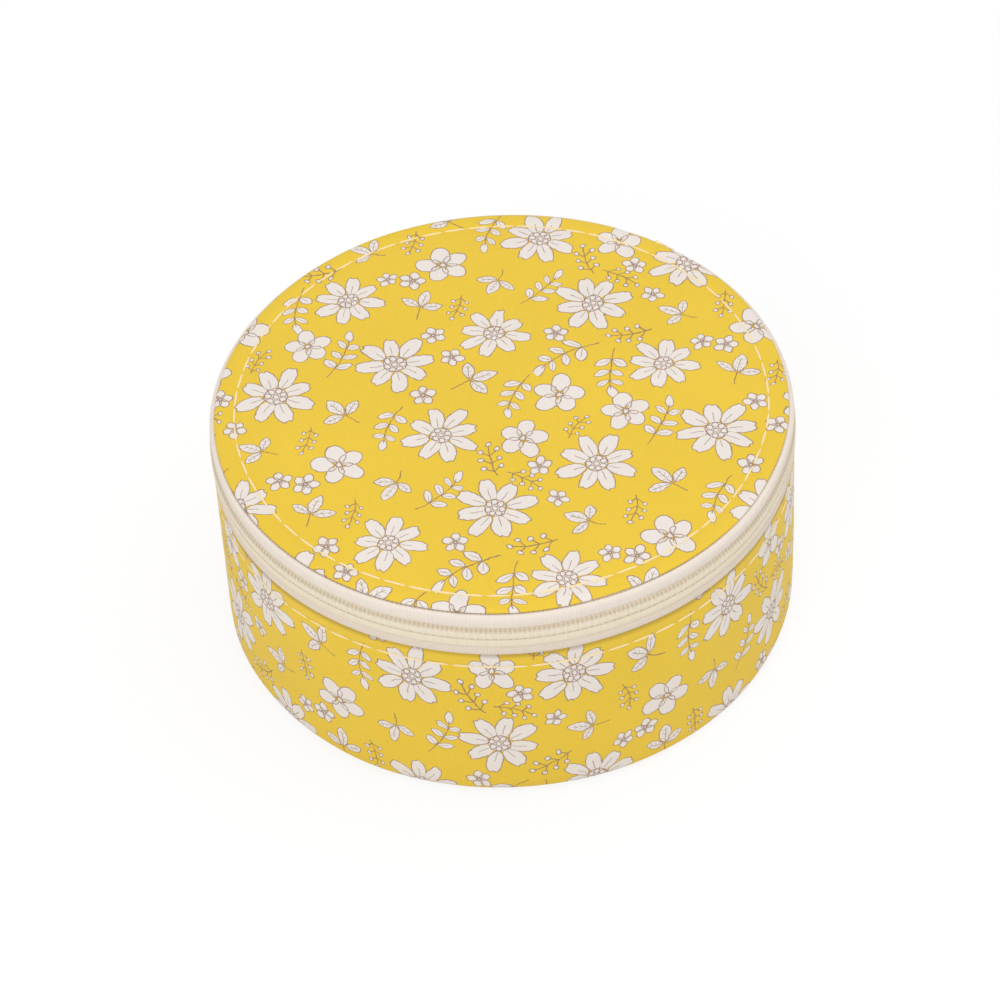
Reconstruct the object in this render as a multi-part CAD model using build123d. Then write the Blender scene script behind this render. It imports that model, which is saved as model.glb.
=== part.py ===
from build123d import *
import os
from math import cos, degrees, floor, pi, radians, sin, sqrt, tan

os.makedirs("parts", exist_ok=True)

# A round, cloth-covered jewelry box. Millimetres and degrees, +Z up, front towards -Y.
# The origin is the centre of the underside, and the lid hinges at the back, +Y.

# Overall size and the heights that divide the side.
body_radius = 60.0
overall_height = 52.0
lid_depth = 6.8
side_tape_show = 4.5

# Sheet goods.
cloth = 0.35
lining = 0.5
tape = 0.55
wall_card = 2.0
base_card = 2.0
lid_card = 1.5
glue = 0.1
soft_gap = 0.3

# Body of the box.
corner_radius = 1.3
hem_depth = 6.5
tape_tuck = 6.9
bottom_inset = 2.5
turn_under = 8.0
floor_foam = 2.0
hem_round = 0.3

# Lid.
lid_edge_setback = 1.4
lid_turn_in = 6.0
lid_foam_rim = 0.7
lid_lining_corner = 0.8
mirror_margin = 8.6
mirror_glass = 1.8
mirror_frame_width = 6.0
mirror_lip = 1.5
mirror_lip_height = 0.6

# Zip: the swell of its tape above the chain, and its coils.
upper_swell_rise = 4.2
hinge_half_angle = 27.0
end_gap = 0.4
coil_half_width = 2.25
coil_thickness = 1.15
tooth_pitch = 1.5
tooth_depth = 1.6
tooth_root = 0.68
tooth_tip = 0.52
tooth_overlap = 0.45
tape_split = 1.2

# Slider, parked beside the hinge, and its pull.
park_angle = 34.0
slider_length = 12.0
slider_half_width = 3.1
shoulder_half_width = 3.5
slider_plate = 1.1
slider_play = 0.3
flange_depth = 0.65
flange_gap = 0.25
post_length = 2.6
post_width = 1.8
post_setback = 1.8
bridge_thickness = 0.85
bridge_width = 1.1
bridge_span = 5.0
pull_length = 15.0
pull_thickness = 0.85
pull_eye_width = 4.6
pull_tip_width = 3.8
pull_eye_bar = 0.7
pull_eye_length = 3.1
pull_eye_corner = 0.4
pull_taper = 1.8
pull_droop = 14.0
pull_play = 0.15
pull_hole_radius = 0.8

# Inside.
divider_thickness = 3.0
divider_drop = 5.7
divider_offset = 1.6
short_divider_offset = -6.0
roll_count = 4
roll_height = 18.0
roll_waist = 0.45
roll_base = 0.72

# Derived heights of the zip and of the side cloth's edge.
zip_height = overall_height - lid_depth
side_edge_height = zip_height - side_tape_show
upper_swell_height = zip_height + upper_swell_rise

# Derived radii of the side, from the outside in.
hem_inner = body_radius - 2 * cloth
tuck_radius = hem_inner - glue
board_outer = tuck_radius - tape - glue
board_inner = board_outer - wall_card
lining_outer = board_inner - glue
lining_inner = lining_outer - lining

# Derived heights of the base, from the floor up.
wrap_bottom = cloth + glue
base_card_bottom = wrap_bottom + cloth + glue
base_card_top = base_card_bottom + base_card
inside_bottom = base_card_top + glue
foam_top = inside_bottom + floor_foam
floor_lining_bottom = foam_top + glue
floor_top = floor_lining_bottom + lining
tape_bottom = side_edge_height - tape_tuck
slider_bottom = zip_height - shoulder_half_width
lining_top = slider_bottom - soft_gap
board_top = lining_top - lining - glue
divider_height = lining_top - divider_drop - floor_top - glue

# Derived sizes of the lid, from the top down.
lid_edge_radius = body_radius - lid_edge_setback
lid_tape_top = overall_height - 2 * cloth - glue
lid_tape_bottom = lid_tape_top - tape
pad_rim_top = lid_tape_bottom - glue
pad_top = overall_height - cloth - glue
pad_bottom = pad_rim_top - lid_foam_rim
lid_card_top = pad_bottom - glue
lid_card_bottom = lid_card_top - lid_card
lid_lining_top = lid_card_bottom - glue
lid_lining_bottom = lid_lining_top - lining
glass_top = lid_lining_bottom - glue
glass_bottom = glass_top - mirror_glass
lid_tape_inner = lid_edge_radius - lid_turn_in

# Derived places of the zip and slider.
coil_outer = body_radius
coil_inner = coil_outer - coil_thickness
chain_tape_outer = coil_inner - glue / 2
chain_tape_inner = chain_tape_outer - tape
half_length = slider_length / 2
inner_plate_outer = sqrt(chain_tape_inner**2 - half_length**2) - slider_play
inner_plate_inner = inner_plate_outer - slider_plate
outer_plate_inner = coil_outer + slider_play
outer_plate_outer = outer_plate_inner + slider_plate
flange_inner = outer_plate_inner - flange_depth
post_centre = -half_length + post_setback
lid_card_radius = inner_plate_inner - soft_gap - lining - glue
mirror_radius = lid_card_radius - mirror_margin - mirror_frame_width
pull_bar_radius = pull_thickness / 2
droop = radians(pull_droop)
pivot_radius = outer_plate_outer + pull_bar_radius + pull_eye_width / 2 * sin(droop) + pull_play
bridge_inner = pivot_radius + pull_bar_radius + bridge_width / 2 * tan(droop) + pull_play
bridge_outer = bridge_inner + bridge_thickness
hinge_axis_radius = body_radius + soft_gap


def station(x, y, heading):
    """A point on the outer face of a sheet, and the way the sheet runs there."""
    return Vector(x, y), Vector(cos(radians(heading)), sin(radians(heading)))


def arc_end_way(start, way, end):
    """The way an arc runs at its end, when it leaves its start the given way."""
    chord = (end - start).normalized()
    return chord * (2 * chord.dot(way)) - way


def with_joints(stations):
    """Add, between stations that no one line or arc joins, the point where two arcs meet."""
    full = [stations[0]]
    for (start, start_way), (end, end_way) in zip(stations, stations[1:]):
        if (arc_end_way(start, start_way, end) - end_way).length > 1e-6:
            chord = end - start
            bend = 2 * (1 - start_way.dot(end_way))
            lean = chord.dot(start_way + end_way)
            if bend < 1e-9:
                reach = chord.dot(chord) / (2 * lean)
            else:
                reach = (sqrt(lean**2 + bend * chord.dot(chord)) - lean) / bend
            joint = (start + end + (start_way - end_way) * reach) * 0.5
            full.append((joint, arc_end_way(start, start_way, joint)))
        full.append((end, end_way))
    return full


def run(start, way, end):
    """A line or an arc that leaves its start the given way."""
    if abs((end - start).cross(way).Z) < 1e-6:
        return Line(start, end).edge()
    return TangentArc(start, end, tangent=way).edge()


def sheet_face(stations, thickness):
    """The section of a sheet that follows the stations, with its thickness on their left."""
    outer = with_joints(stations)
    inner = [(point + Vector(-way.Y, way.X) * thickness, way) for point, way in outer]
    edges = [Line(outer[0][0], inner[0][0]).edge(), Line(outer[-1][0], inner[-1][0]).edge()]
    for side in (outer, inner):
        edges += [run(point, way, end) for (point, way), (end, _) in zip(side, side[1:])]
    return make_face(edges)


def block_face(inner, outer, low, high):
    """A rectangle between two radii and two heights."""
    centre = Pos((inner + outer) / 2, (low + high) / 2)
    return centre * Rectangle(outer - inner, high - low)


def turned(face, start=0.0, arc=360.0):
    """Turn a section about the upright axis, from an angle measured from the right side."""
    solid = revolve(Plane.XZ * face, Axis.Z, arc)
    return Rot(0, 0, start) * solid


def ease_corners(face, size, chosen):
    """Take off the corners of a flat shape that the test picks."""
    return chamfer([v for v in face.vertices() if chosen(v)], size)


def save(solid, node):
    """Write one sub-part."""
    export_step(solid, "parts/" + node + ".step")


def disc(radius, low, high, edge=0.0):
    """A round sheet with softened edges."""
    solid = Pos(0, 0, low) * extrude(Circle(radius), high - low)
    if edge:
        solid = chamfer(solid.edges().filter_by(GeomType.CIRCLE), edge)
    return solid


def bottom_cover():
    """The printed cloth glued on under the base."""
    return disc(body_radius - bottom_inset, 0.0, cloth)


def base_board():
    """The stiff card in the bottom."""
    return disc(board_outer, base_card_bottom, base_card_top)


def wall_board():
    """The stiff card bent into the side."""
    return turned(block_face(board_inner, board_outer, inside_bottom, board_top))


def side_wadding():
    """The thin wadding that fills out the side below the zip tape."""
    low = base_card_bottom + corner_radius
    high = tape_bottom - soft_gap
    return turned(block_face(board_outer + glue, body_radius - cloth - glue, low, high))


def side_cover():
    """The printed cloth round the side, turned under at the base and hemmed at the top."""
    turn_radius = body_radius - corner_radius
    corner_top = wrap_bottom + corner_radius
    skin = sheet_face(
        [
            station(body_radius - turn_under, wrap_bottom, 0),
            station(turn_radius, wrap_bottom, 0),
            station(body_radius, corner_top, 90),
            station(body_radius, side_edge_height, 90),
        ],
        cloth,
    )
    hem_low = side_edge_height - hem_depth
    section = skin + block_face(hem_inner, body_radius - cloth / 2, hem_low, side_edge_height)
    section = ease_corners(section, hem_round, lambda v: v.Y > side_edge_height - 1e-3)
    return turned(section)


def wall_lining():
    """The lining of the side, taken over the top of the card."""
    bend = lining + glue
    section = sheet_face(
        [
            station(board_outer, lining_top, 180),
            station(lining_inner + bend, lining_top, 180),
            station(lining_inner, lining_top - bend, 270),
            station(lining_inner, inside_bottom, 270),
        ],
        lining,
    )
    return turned(section)


def floor_pad():
    """The foam under the floor lining."""
    return disc(lining_inner - soft_gap, inside_bottom, foam_top, floor_foam * 0.3)


def floor_lining():
    """The lining of the floor."""
    return disc(lining_inner - soft_gap, floor_lining_bottom, floor_top)


def divider_long():
    """The lined wall across the box."""
    length = 2 * lining_inner
    centre = Pos(0, divider_offset, floor_top + glue + divider_height / 2)
    wall = centre * Box(length, divider_thickness, divider_height)
    wall = fillet(wall.edges().filter_by(Axis.X).group_by(Axis.Z)[-1], divider_thickness * 0.4)
    return wall & disc(lining_inner - soft_gap, floor_top + glue, overall_height)


def divider_short():
    """The lined wall that halves the front of the box."""
    back = divider_offset - divider_thickness / 2 - glue
    length = lining_inner + back
    centre = Pos(short_divider_offset, back - length / 2, floor_top + glue + divider_height / 2)
    wall = centre * Box(divider_thickness, length, divider_height)
    wall = fillet(wall.edges().filter_by(Axis.Y).group_by(Axis.Z)[-1], divider_thickness * 0.4)
    return wall & disc(lining_inner - soft_gap, floor_top + glue, overall_height)


def ring_roll(place, width):
    """One padded roll: a crowned bolster whose ends follow the wall of the box."""
    low = floor_top + glue
    waist = low + roll_height * roll_waist
    half = width / 2
    foot = half * roll_base
    edges = [Line((-foot, low), (foot, low)).edge()]
    outline = with_joints(
        [station(half, waist, 90), station(0, low + roll_height, 180), station(-half, waist, 270)]
    )
    edges += [run(point, way, end) for (point, way), (end, _) in zip(outline, outline[1:])]
    for side in (1, -1):
        edges += [run(Vector(side * half, waist), Vector(0, -1), Vector(side * foot, low))]
    section = make_face(edges)
    bar = extrude(Plane.YZ * section, body_radius, both=True)
    bar = Pos(0, place, 0) * bar
    return bar & disc(lining_inner - soft_gap, low - 1, overall_height)


def lid_cover():
    """The printed cloth on the lid, with its edge turned in."""
    top = block_face(0, lid_edge_radius, overall_height - cloth, overall_height)
    turn = block_face(lid_tape_inner, lid_edge_radius, overall_height - 2 * cloth, overall_height)
    section = top + turn
    return turned(ease_corners(section, hem_round, lambda v: v.X > lid_edge_radius - 1e-3))


def lid_pad():
    """The thin foam on the lid, thinner under the stitched tape and round at its rim."""
    step = lid_tape_inner - glue
    rim = tuck_radius - tape - glue
    section = make_face(
        Polyline(
            (0, pad_bottom),
            (rim, pad_bottom),
            (rim, pad_rim_top),
            (step, pad_rim_top),
            (step - 1, pad_top),
            (0, pad_top),
            close=True,
        )
    )
    rim_ease = lid_foam_rim / 2
    top_rim = pad_bottom + rim_ease
    return turned(ease_corners(section, rim_ease, lambda v: v.X > rim - 1e-3 and v.Y > top_rim))


def lid_board():
    """The stiff card of the lid."""
    return disc(lid_card_radius, lid_card_bottom, lid_card_top)


def lid_lining():
    """The lining of the lid, taken up round the edge of its card."""
    outer = lid_card_radius + glue + lining
    corner = lid_lining_corner
    section = sheet_face(
        [
            station(0, lid_lining_bottom, 0),
            station(outer - corner, lid_lining_bottom, 0),
            station(outer, lid_lining_bottom + corner, 90),
            station(outer, lid_card_top, 90),
        ],
        lining,
    )
    return turned(section)


def mirror():
    """The glass, with its edge eased."""
    return disc(mirror_radius, glass_bottom, glass_top, mirror_glass * 0.2)


def mirror_frame():
    """The covered ring that holds the mirror to the lid."""
    seat = mirror_radius + soft_gap
    outer = mirror_radius + mirror_frame_width
    low = glass_bottom - glue - mirror_lip_height
    ring = block_face(seat, outer, low, glass_top)
    lip = block_face(mirror_radius - mirror_lip, outer, low, low + mirror_lip_height)
    section = ease_corners(ring + lip, mirror_lip_height * 0.45, lambda v: v.Y < low + 1e-3)
    return turned(section)


def zip_arc(height_sections):
    """Turn a section through the run of the zip, from one side of the hinge round to the other."""
    margin = hinge_half_angle + degrees(end_gap / body_radius)
    return turned(height_sections, 90 + margin, 360 - 2 * margin)


def lower_tape():
    """The zip tape sewn to the side: tucked behind the hem, and drawn in to the chain."""
    return zip_arc(
        sheet_face(
            [
                station(tuck_radius, tape_bottom, 90),
                station(tuck_radius, lining_top, 90),
                station(chain_tape_outer, zip_height - coil_half_width - flange_gap, 90),
                station(chain_tape_outer, zip_height - tape_split, 90),
            ],
            tape,
        )
    )


def upper_tape():
    """The zip tape sewn to the lid: it swells out above the coil and rolls in under the cloth."""
    return zip_arc(
        sheet_face(
            [
                station(chain_tape_outer, zip_height + tape_split, 90),
                station(chain_tape_outer, zip_height + coil_half_width + flange_gap, 90),
                station(body_radius, upper_swell_height, 90),
                station(lid_edge_radius - hem_round, lid_tape_top, 180),
                station(lid_tape_inner, lid_tape_top, 180),
            ],
            tape,
        )
    )


def hinge_cloth():
    """The cloth at the back in place of the zip, on which the lid opens."""
    section = sheet_face(
        [
            station(tuck_radius, tape_bottom, 90),
            station(tuck_radius, side_edge_height - hem_round, 90),
            station(body_radius - glue, zip_height - tape_split, 90),
            station(body_radius - glue, upper_swell_height, 90),
            station(lid_edge_radius - hem_round, lid_tape_top, 180),
            station(lid_tape_inner, lid_tape_top, 180),
        ],
        tape,
    )
    return turned(section, 90 - hinge_half_angle, 2 * hinge_half_angle)


def many_sided(radius, sides, turn):
    """An outline of equal flat sides whose corners lie on a circle."""
    angles = [radians(turn + k * 360 / sides) for k in range(sides)]
    return make_face(Polyline(*[(radius * cos(a), radius * sin(a)) for a in angles], close=True))


def coil_arc():
    """The angles at which the coils start and end, round the front of the box."""
    start = 90 + hinge_half_angle + degrees(2 * end_gap / body_radius)
    parked_end = -post_centre - post_length / 2 - soft_gap
    return start, 450 - park_angle + degrees(parked_end / body_radius)


def hinge_wedge(start, end, low, high):
    """The space behind the box that the zip leaves to the hinge, between two angles."""
    far = 2 * body_radius
    corners = [(far * cos(radians(a)), far * sin(radians(a))) for a in (start, end)]
    sector = make_face(Polyline((0, 0), *corners, close=True))
    return Pos(0, 0, low) * extrude(sector, high - low)


def coil(side, phase):
    """One row of the chain, with a tooth for each turn of its coil. side is 1 above, -1 below."""
    start, end = coil_arc()
    far = zip_height + side * coil_half_width
    near = zip_height - side * tooth_overlap
    root = near + side * tooth_depth
    tip = near - side * glue
    low, high = min(near, far), max(near, far)
    sides = round(2 * pi * coil_outer / tooth_pitch)
    step = 360 / sides
    pitch = 2 * pi * coil_outer / sides
    turn = start + phase * step
    ring = many_sided(coil_outer, sides, turn) - many_sided(coil_inner, sides, turn)
    row = Pos(0, 0, low) * extrude(ring, high - low)
    row -= hinge_wedge(end - 360, start, low, high)
    wide = (pitch - tooth_tip) / 2
    narrow = (pitch - tooth_root) / 2
    gap = make_face(
        Polyline((-wide, tip), (wide, tip), (narrow, root), (-narrow, root), close=True)
    )
    cutter = slab(gap, coil_inner - coil_thickness, coil_outer + coil_thickness)
    clear_end = Pos(0, (tip + root) / 2) * Rectangle(2 * pitch, abs(root - tip))
    clear_end = slab(clear_end, coil_inner - coil_thickness, coil_outer + coil_thickness)
    count = floor((end - start) / step - phase) + 1
    gaps = [Rot(0, 0, turn - 90 + k * step) * cutter for k in range(count)]
    ends = [Rot(0, 0, angle - 90) * clear_end for angle in (start, end)]
    return row.cut(*gaps, *ends)


def slab(outline, near, far):
    """A plate between two distances out from the axis of the box."""
    return extrude(Plane.XZ.offset(-near) * outline, near - far)


def plate_outline():
    """The shield shape of the slider's plates: wide shoulders that narrow to the tail."""
    shoulder = -half_length * 0.45
    nose = shoulder_half_width * 0.62
    outline = make_face(
        Polyline(
            (half_length, zip_height - slider_half_width),
            (half_length, zip_height + slider_half_width),
            (shoulder, zip_height + shoulder_half_width),
            (-half_length, zip_height + nose),
            (-half_length, zip_height - nose),
            (shoulder, zip_height - shoulder_half_width),
            close=True,
        )
    )
    return fillet(outline.vertices(), 0.9)


def slider_body():
    """The slider: two plates joined by the wedge post, and flanges that hold the coils."""
    back = slab(plate_outline(), inner_plate_inner, inner_plate_outer)
    front = slab(plate_outline(), outer_plate_inner, outer_plate_outer)
    front = chamfer(front.faces().sort_by(Axis.Y)[-1].edges(), 0.25)
    post_shape = Pos(post_centre, zip_height) * Ellipse(post_length / 2, post_width / 2)
    post = slab(post_shape, inner_plate_outer - glue, outer_plate_inner + glue)
    flange_low = coil_half_width + flange_gap
    flange_width = slider_half_width - flange_low
    flange_length = half_length * 1.35
    flange_shape = Rectangle(flange_length, flange_width)
    middle = half_length - 0.5 - flange_length / 2
    body = back + front + post
    for side in (1, -1):
        place = Pos(middle, zip_height + side * (flange_low + flange_width / 2))
        body += slab(place * flange_shape, flange_inner, outer_plate_inner + glue)
    return parked(body)


def parked(piece):
    """Turn a piece made at the back of the box to where the slider is parked."""
    return Rot(0, 0, -park_angle) * piece


def slider_bridge():
    """The arch on the slider that carries the pull."""
    half = bridge_span / 2
    corner = bridge_thickness * 0.9
    outline = Polyline(
        (-half, outer_plate_outer),
        (-half, bridge_outer),
        (half, bridge_outer),
        (half, outer_plate_outer),
        (half - bridge_thickness, outer_plate_outer),
        (half - bridge_thickness, bridge_inner),
        (-half + bridge_thickness, bridge_inner),
        (-half + bridge_thickness, outer_plate_outer),
        close=True,
    )
    section = make_face(outline)
    section = ease_corners(section, corner, lambda v: v.Y > bridge_outer - 1e-3)
    arch = extrude(section, bridge_width / 2, both=True)
    arch = Pos(0, 0, zip_height) * arch
    return parked(arch)


def pull_tab():
    """The pull: a flat tab with an eye for the bridge, hanging a little askew in it."""
    eye_end = pull_bar_radius + pull_eye_length
    half_eye = pull_eye_width / 2
    half_tip = pull_tip_width / 2
    body = make_face(
        Polyline(
            (0, -half_eye),
            (eye_end, -half_eye),
            (eye_end + pull_taper, -half_tip),
            (pull_length - half_tip, -half_tip),
            (pull_length - half_tip, half_tip),
            (eye_end + pull_taper, half_tip),
            (eye_end, half_eye),
            (0, half_eye),
            close=True,
        )
    )
    tip = Pos(pull_length - half_tip, 0) * Circle(half_tip)
    eye = Rectangle(eye_end, pull_eye_width - 2 * pull_eye_bar)
    eye = fillet(eye.vertices(), pull_eye_corner)
    hole = Pos(pull_length - half_tip, 0) * Circle(pull_hole_radius)
    flat = body + tip - Pos(eye_end / 2, 0) * eye - hole
    plate = extrude(Plane.XZ * flat, pull_thickness / 2, both=True)
    bar = Cylinder(pull_bar_radius, pull_eye_width)
    tab = Rot(0, pull_droop, 0) * (plate + bar)
    return parked(Pos(0, pivot_radius, zip_height) * tab)


def build():
    """Make every sub-part and write it."""
    save(base_board(), "base_board")
    save(bottom_cover(), "bottom_cover")
    save(wall_board(), "wall_board")
    save(side_wadding(), "side_wadding")
    save(side_cover(), "side_cover")
    save(wall_lining(), "wall_lining")
    save(floor_pad(), "floor_pad")
    save(floor_lining(), "floor_lining")
    save(divider_long(), "divider_long")
    save(divider_short(), "divider_short")
    first = divider_offset + divider_thickness / 2 + soft_gap
    room = lining_inner - soft_gap - first
    width = room / roll_count - soft_gap
    for k in range(roll_count):
        place = first + (k + 0.5) * width + k * soft_gap
        save(ring_roll(place, width), "ring_roll_" + str(k + 1))
    save(lower_tape(), "lower_tape")
    save(coil(-1, 0.5), "lower_coil")
    save(hinge_cloth(), "hinge_cloth")
    save(lid_cover(), "lid_cover")
    save(lid_pad(), "lid_pad")
    save(lid_board(), "lid_board")
    save(lid_lining(), "lid_lining")
    save(mirror(), "mirror")
    save(mirror_frame(), "mirror_frame")
    save(upper_tape(), "upper_tape")
    save(coil(1, 0.0), "upper_coil")
    save(slider_body(), "slider_body")
    save(slider_bridge(), "slider_bridge")
    save(pull_tab(), "pull_tab")


build()
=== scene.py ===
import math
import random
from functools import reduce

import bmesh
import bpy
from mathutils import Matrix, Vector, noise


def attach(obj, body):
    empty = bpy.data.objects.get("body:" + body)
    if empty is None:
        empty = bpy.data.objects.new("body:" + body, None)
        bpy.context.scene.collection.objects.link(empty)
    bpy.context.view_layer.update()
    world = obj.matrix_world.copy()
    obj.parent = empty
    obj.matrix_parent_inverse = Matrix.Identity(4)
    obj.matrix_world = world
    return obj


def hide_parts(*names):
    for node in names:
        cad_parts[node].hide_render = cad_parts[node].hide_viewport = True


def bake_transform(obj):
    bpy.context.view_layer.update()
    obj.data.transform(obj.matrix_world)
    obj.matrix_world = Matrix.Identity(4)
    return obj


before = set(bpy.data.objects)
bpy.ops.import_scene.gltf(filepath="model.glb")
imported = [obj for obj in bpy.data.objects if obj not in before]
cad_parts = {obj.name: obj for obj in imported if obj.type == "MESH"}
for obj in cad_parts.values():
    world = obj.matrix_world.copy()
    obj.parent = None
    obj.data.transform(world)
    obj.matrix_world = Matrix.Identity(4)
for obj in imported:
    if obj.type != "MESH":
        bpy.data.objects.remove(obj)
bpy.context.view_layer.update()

# %% [markdown]
# # A round jewelry box covered in printed cotton
# The box is a card drum, 120 mm across and 52 mm high, with a zip round its upper edge and
# a cloth hinge at the back. Printed yellow cotton covers the lid and the side, a cream tape
# carries the zip, and the inside is lined, divided and padded. The CAD model gives every
# part its place. This lesson dresses it: each section makes one piece, or the finish of one,
# and everything is measured in millimetres until the moment a mesh is handed over in metres.

MM = 0.001
TURN = 2 * math.pi
# The noise would start from the clock, and the box would differ a little on each run.
noise.seed_set(24)

# %% [markdown]
# ## Colours
# A colour given here is written the way a screen shows it. Shaders count light, so each
# one is turned into a linear colour here. Keeping all of them in one place makes it easy to
# see that the whole box uses one yellow, one off-white and a family of creams.


# %% Colours, on screen and as light
def light(red, green, blue):
    """A screen colour from 0 to 255, as the linear colour that a shader wants."""
    parts = []
    for level in (red, green, blue):
        level /= 255
        parts.append(level / 12.92 if level <= 0.04045 else ((level + 0.055) / 1.055) ** 2.4)
    return (*parts, 1.0)


YELLOW = light(240, 203, 62)
PETAL = light(240, 231, 223)
INK = light(146, 112, 96)
STITCH = light(250, 226, 168)
TAPE_CREAM = light(246, 234, 221)
# The lower tape is the same cloth as the upper one; this darker cream is its painted shade.
SHADED_TAPE_CREAM = light(236, 221, 204)
COIL_CREAM = light(247, 233, 209)
LINING_CREAM = light(238, 229, 213)
GOLD = light(232, 208, 160)
# Painted shadow: the brown that darkens the side cloth just below the zip tape.
TAPE_SHADOW_BROWN = light(132, 100, 52)
# Painted shade: the brown that darkens the grooves where the zip's cloth is sewn in.
SEAM_SHADE_BROWN = light(168, 146, 112)
print("yellow as light:", [round(c, 3) for c in YELLOW[:3]])

# %% [markdown]
# ## Shapes turned on a lathe
# Nearly every part of a round box is a section turned about the upright axis. In Blender
# that is the spin operator: a few points give the section, small bevels round its corners,
# and spin carries it round. Cloth cut in a strip also wants a map that runs along it, so
# that a print or a rib follows the strip. The last helper does all of it in one go, and
# hands the piece over to the body that it moves with.


# %% Move, turn, copy and unsettle a whole mesh
WALL = 60.0
SWAY = 0.3


def scale(bm, *factors):
    """Scale a mesh about the origin."""
    bmesh.ops.scale(bm, vec=factors, verts=bm.verts[:])


def shift(bm, *by):
    """Move a mesh."""
    bmesh.ops.translate(bm, vec=by, verts=bm.verts[:])


def rotate(bm, angle, axis):
    """Turn a mesh about an axis through the origin, by an angle in radians."""
    bmesh.ops.rotate(bm, cent=(0, 0, 0), matrix=Matrix.Rotation(angle, 3, axis), verts=bm.verts[:])


def spin(bm, geom, angle, steps, **options):
    """Carry part of a mesh round the upright axis through the origin."""
    return bmesh.ops.spin(
        bm, geom=geom, cent=(0, 0, 0), axis=(0, 0, 1), dvec=(0, 0, 0), angle=angle, steps=steps,
        **options,
    )


def copies_round(bm, count, step):
    """Copy a mesh round the box until it is there count times, one step apart."""
    everything = bm.verts[:] + bm.edges[:] + bm.faces[:]
    spin(bm, everything, step * (count - 1), count - 1, use_duplicate=True)


def close_up(bm):
    """Merge points that meet, and turn every face outwards."""
    bmesh.ops.remove_doubles(bm, verts=bm.verts[:], dist=1e-5)
    bmesh.ops.recalc_face_normals(bm, faces=bm.faces[:])


def unsettle(bm, amount=SWAY, grain=24, seed=0.0, upright=0.5):
    """Push points about a little and slowly, the way hand-made work is never quite true."""
    for vert in bm.verts:
        push = noise.noise_vector(vert.co / grain + Vector((seed, seed * 0.7, seed * 1.3)))
        vert.co += Vector((push.x, push.y, push.z * upright)) * amount


print("whole-mesh helpers ready")


# %% Turn a section, map it and hand the mesh over
def spun(section, start=90.0, arc=360.0, steps=240, ease=0.0):
    """Turn a closed section, as (radius, height) pairs, about the axis of the box."""
    bm = bmesh.new()
    verts = [bm.verts.new((r, 0, z)) for r, z in section]
    bm.faces.new(verts)
    if ease:
        bmesh.ops.bevel(
            bm, geom=[v for v in verts if v.co.x > 0.01], offset=ease, offset_type="OFFSET",
            segments=3, profile=0.5, affect="VERTICES", material=-1, clamp_overlap=True,
        )
    bmesh.ops.delete(bm, geom=bm.faces[:], context="FACES_ONLY")
    on_axis = [e for e in bm.edges if max(v.co.x for v in e.verts) < 1e-6]
    bmesh.ops.delete(bm, geom=on_axis, context="EDGES")
    rotate(bm, math.radians(start), "Z")
    first = bm.edges[:]
    whole = arc >= 360
    made = spin(bm, bm.verts[:] + first, math.radians(arc), steps, use_merge=whole, use_duplicate=False)
    if not whole:
        last = [e for e in made["geom_last"] if isinstance(e, bmesh.types.BMEdge)]
        bmesh.ops.contextual_create(bm, geom=first)
        bmesh.ops.contextual_create(bm, geom=last)
    close_up(bm)
    return bm


def map_strip(bm, radius, lean):
    """Lay a map round a turned piece: distance round it one way, height the other.

    lean tells where the strip turns in: 1 at its foot, -1 at its top, 0 nowhere.
    """
    uv = bm.loops.layers.uv.new("cloth")
    for face in bm.faces:
        middle = face.calc_center_median()
        base = math.atan2(middle.x, -middle.y)
        for loop in face.loops:
            co = loop.vert.co
            angle = math.atan2(co.x, -co.y)
            angle += TURN * round((base - angle) / TURN)
            height = co.z + lean * (co.xy.length - radius)
            loop[uv].uv = (angle * radius * MM, height * MM)


def to_object(bm, name, material):
    """Make a finished bmesh an object in metres."""
    scale(bm, MM, MM, MM)
    mesh = bpy.data.meshes.new(name)
    bm.to_mesh(mesh)
    bm.free()
    mesh.materials.append(material)
    piece = bpy.data.objects.new(name, mesh)
    bpy.context.scene.collection.objects.link(piece)
    return piece


def hand_over(bm, name, material, body, replaces=(), cusp=60.0):
    """Make the finished bmesh a smooth object that rides on a body of the frame.

    Edges sharper than the cusp, in degrees, stay sharp.
    """
    piece = to_object(bm, name, material)
    piece.data.shade_smooth()
    piece.data.set_sharp_from_angle(angle=math.radians(cusp))
    if body:
        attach(piece, body)
    if replaces:
        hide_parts(*replaces)
    print(name, "faces", len(piece.data.polygons))
    return piece


def turned(
    section, name, material, body, slot, replaces=(), sway=0.0, lean=None, radius=WALL, cusp=60.0, **how,
):
    """Turn a section, unsettle it, map it as a strip if a lean is given, and hand it over."""
    bm = spun(section, **how)
    if sway:
        unsettle(bm, sway)
    if lean is not None:
        map_strip(bm, radius, lean)
    return hand_over(bm, name, material, body, replaces, cusp)


print("lathe ready")

# %% [markdown]
# ## Finishes as formulas
# A pattern such as a flower print is easiest to think of as a distance: how far is this
# point of the cloth from the edge of the nearest petal? Blender's Math nodes can hold such
# a formula, but wiring them by hand hides it. The small class below lets the formula be
# written as arithmetic, and leaves one Math node behind for each step of it.


# %% Arithmetic that leaves Math nodes behind
class Field:
    """A number that changes over a surface."""

    def __init__(self, tree, socket):
        self.tree = tree
        self.socket = socket

    def math(self, operation, *others):
        """One Math node, fed with this number and the others."""
        node = self.tree.nodes.new("ShaderNodeMath")
        node.operation = operation
        for place, value in enumerate((self, *others)):
            join(self.tree, value, node.inputs[place])
        return Field(self.tree, node.outputs[0])

    def __add__(self, other):
        return self.math("ADD", other)

    def __sub__(self, other):
        return self.math("SUBTRACT", other)

    def __mul__(self, other):
        return self.math("MULTIPLY", other)

    def __truediv__(self, other):
        return self.math("DIVIDE", other)

    def __abs__(self):
        return self.math("ABSOLUTE")

    def clamped(self):
        """This number, held between 0 and 1."""
        return self.math("MINIMUM", 1.0).math("MAXIMUM", 0.0)


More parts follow.
